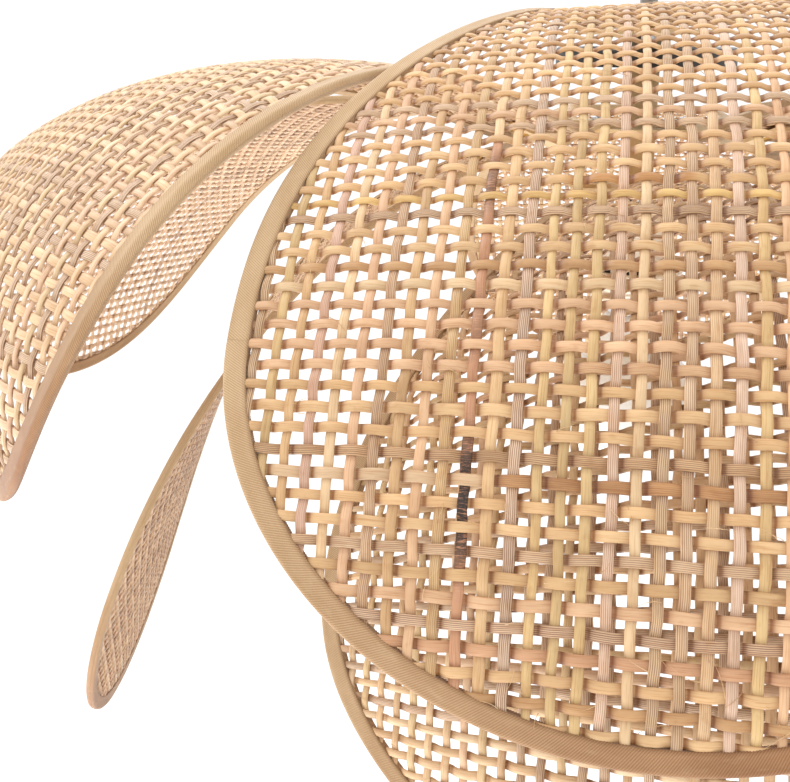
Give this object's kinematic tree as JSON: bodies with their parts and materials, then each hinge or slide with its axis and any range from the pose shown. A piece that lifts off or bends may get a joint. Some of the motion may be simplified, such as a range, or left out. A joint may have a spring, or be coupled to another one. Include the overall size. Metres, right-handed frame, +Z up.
{
  "type": "pendant lamp",
  "caption": "Hanging lamp: a flower of bent rattan cane-webbing petals with taped edges, on arms round a black stem, over a screw lampholder with a globe bulb.",
  "frame": {"origin": "mouth of the cord grip on the lamp's vertical axis, the point the lamp hangs from", "axes": "+Z up along the stem; -Y is the lamp's front, where the topmost petal points"},
  "size_m": [0.837, 0.7951, 0.4417],
  "materials": {
    "cane_webbing": "open plain-weave rattan cane, honey coloured, unvarnished",
    "edge_tape": "fine twill tape, beige-brown, sewn over the edge",
    "sand_powder_coat": "matt sand powder coat",
    "black_metal": "satin black paint",
    "black_bakelite": "moulded black thermoset, soft sheen",
    "ivory_bakelite": "moulded ivory thermoset",
    "zinc_steel": "bright zinc plate",
    "brass": "plain brass",
    "rubber": "matt",
    "ceramic": "glazed steatite",
    "bulb_cap_metal": "rolled thread, satin",
    "white_plastic": "smooth",
    "opal_glass": "opal white"
  },
  "bodies": {
    "lamp": {"cord_grip_body": "black_bakelite", "cord_grip_nut": "black_bakelite", "cord_grip_seal": "rubber", "stem_tube": "zinc_steel", "top_nut": "black_metal", "upper_plate": "sand_powder_coat", "middle_plate": "sand_powder_coat", "lower_plate": "sand_powder_coat", "cover_disc": "black_metal", "upper_spacer": "sand_powder_coat", "middle_spacer": "sand_powder_coat", "lower_spacer": "sand_powder_coat", "bottom_nut": "black_metal", "arm_a": "sand_powder_coat", "arm_b": "sand_powder_coat", "arm_c": "sand_powder_coat", "arm_d": "sand_powder_coat", "arm_e": "sand_powder_coat", "arm_f": "sand_powder_coat", "arm_g": "sand_powder_coat", "arm_h": "sand_powder_coat", "arm_i": "sand_powder_coat", "arm_screws": "zinc_steel", "arm_rivets": "brass", "petal_a_web": "cane_webbing", "petal_b_web": "cane_webbing", "petal_c_web": "cane_webbing", "petal_d_web": "cane_webbing", "petal_e_web": "cane_webbing", "petal_f_web": "cane_webbing", "petal_g_web": "cane_webbing", "petal_h_web": "cane_webbing", "petal_i_web": "cane_webbing", "petal_a_binding": "edge_tape", "petal_b_binding": "edge_tape", "petal_c_binding": "edge_tape", "petal_d_binding": "edge_tape", "petal_e_binding": "edge_tape", "petal_f_binding": "edge_tape", "petal_g_binding": "edge_tape", "petal_h_binding": "edge_tape", "petal_i_binding": "edge_tape", "holder_cap": "ivory_bakelite", "holder_body": "ivory_bakelite", "holder_insert": "ceramic", "screw_shell": "brass", "centre_contact": "brass"},
    "bulb_carriage": {"bulb_contact": "zinc_steel"},
    "bulb": {"bulb_screw_cap": "bulb_cap_metal", "bulb_insulator": "black_bakelite", "bulb_collar": "white_plastic", "bulb_globe": "opal_glass", "bulb_light_board": "white_plastic"},
    "ring_carriage": {"ring_gasket": "rubber"},
    "ring": {"shade_ring": "ivory_bakelite"}
  },
  "joints": [
    {"name": "bulb_travel", "type": "slide", "parent": "lamp", "child": "bulb_carriage", "axis": [0, 0, -1], "range_m": [0, 0.01814]},
    {"name": "bulb_turn", "type": "hinge", "parent": "bulb_carriage", "child": "bulb", "pos_m": [0, 0, -0.2], "axis": [0, 0, -1], "range_deg": [0, 1800]},
    {"name": "ring_travel", "type": "slide", "parent": "lamp", "child": "ring_carriage", "axis": [0, 0, -1], "range_m": [0, 0.00999]},
    {"name": "ring_turn", "type": "hinge", "parent": "ring_carriage", "child": "ring", "pos_m": [0, 0, -0.18], "axis": [0, 0, -1], "range_deg": [0, 1440]}
  ],
  "couplings": [
    {"joint": "bulb_turn", "follows": "bulb_travel", "rad_per_m": 1731.4},
    {"joint": "ring_turn", "follows": "ring_travel", "rad_per_m": 2513.3}
  ]
}
